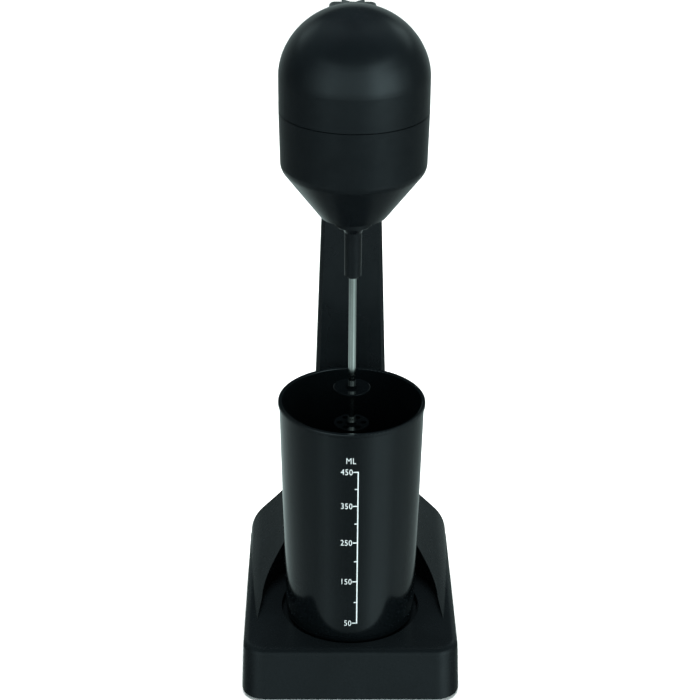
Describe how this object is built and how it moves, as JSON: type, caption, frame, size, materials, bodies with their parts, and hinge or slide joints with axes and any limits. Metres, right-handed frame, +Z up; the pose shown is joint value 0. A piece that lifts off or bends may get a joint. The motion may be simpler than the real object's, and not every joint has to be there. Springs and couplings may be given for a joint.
{
  "type": "stand milk frother",
  "caption": "Stand-type milk frother: domed motor head on a column, disc-tipped steel spindle, tapered measuring cup and a weighted base with a recess.",
  "frame": {"origin": "middle of the bounding box's footprint, on the table plane under the rubber feet", "axes": "+Z up along the column and the spindle, -Y to the front where the cup stands, +X to the right seen from the front"},
  "size_m": [0.121, 0.148, 0.38],
  "materials": {
    "black_casing": "satin black moulded ABS",
    "black_cup": "semi-gloss black polypropylene with a white printed volume scale",
    "black_trim": "gloss black plastic",
    "black_gloss_disc": "high-gloss black plastic",
    "black_base_plate": "textured black plastic",
    "black_rubber": "matt black rubber",
    "cast_ballast": "plain cast iron",
    "screw_steel": "zinc-plated steel",
    "ground_steel": "ground steel",
    "stainless_rod": "polished stainless steel",
    "lamination_steel": "laminated electrical steel",
    "copper_winding": "enamelled copper wire, varnished",
    "copper_bars": "turned copper",
    "zinc_bracket": "die-cast",
    "bronze_bush": "sintered bronze",
    "phenolic_holder": "brown phenolic",
    "brush_carbon": "carbon",
    "white_nylon": "natural nylon",
    "capacitor_yellow": "yellow plastic case",
    "grey_fan": "grey nylon"
  },
  "bodies": {
    "stand": {"base_shell": "black_casing", "base_plate": "black_base_plate", "ballast_plate": "cast_ballast", "rubber_feet": "black_rubber", "base_screws": "screw_steel", "cord_gland": "black_rubber", "terminal_block": "white_nylon", "suppression_capacitor": "capacitor_yellow", "column_front_shell": "black_casing", "column_rear_cover": "black_casing", "column_screws": "screw_steel", "column_cap": "black_casing", "switch_body": "black_trim", "lower_housing": "black_casing", "dome_cap": "black_casing", "housing_screws": "screw_steel", "neck_duct": "black_casing", "shaft_seal": "black_rubber", "motor_stator": "lamination_steel", "field_coils": "copper_winding", "lower_motor_bracket": "zinc_bracket", "upper_motor_bracket": "zinc_bracket", "motor_bolts": "screw_steel", "motor_mount_ring": "black_rubber", "lower_bearing": "bronze_bush", "upper_bearing": "bronze_bush", "brush_holders": "phenolic_holder", "carbon_brushes": "brush_carbon", "brush_springs": "screw_steel"},
    "rotor": {"motor_shaft": "ground_steel", "armature_core": "lamination_steel", "armature_windings": "copper_winding", "commutator": "copper_bars", "cooling_fan": "grey_fan", "drive_coupling": "black_trim"},
    "spindle": {"spindle_rod": "stainless_rod", "splash_disc": "black_gloss_disc", "whisk_disc": "black_gloss_disc"},
    "cup": {"mixing_cup": "black_cup"},
    "rocker": {"switch_rocker": "black_trim"}
  },
  "joints": [
    {"name": "spindle_spin", "type": "hinge", "parent": "stand", "child": "rotor", "pos_m": [0, -0.0215, 0.3], "axis": [0, 0, 1], "continuous": true},
    {"name": "spindle_pull", "type": "slide", "parent": "rotor", "child": "spindle", "axis": [0, 0, -1], "range_m": [0, 0.015]},
    {"name": "cup_lift", "type": "slide", "parent": "stand", "child": "cup", "axis": [0, 0, 1], "range_m": [0, 0.085]},
    {"name": "rocker_tilt", "type": "hinge", "parent": "stand", "child": "rocker", "pos_m": [0, 0.0485, 0.358], "axis": [0, 1, 0], "range_deg": [-9, 9]}
  ]
}
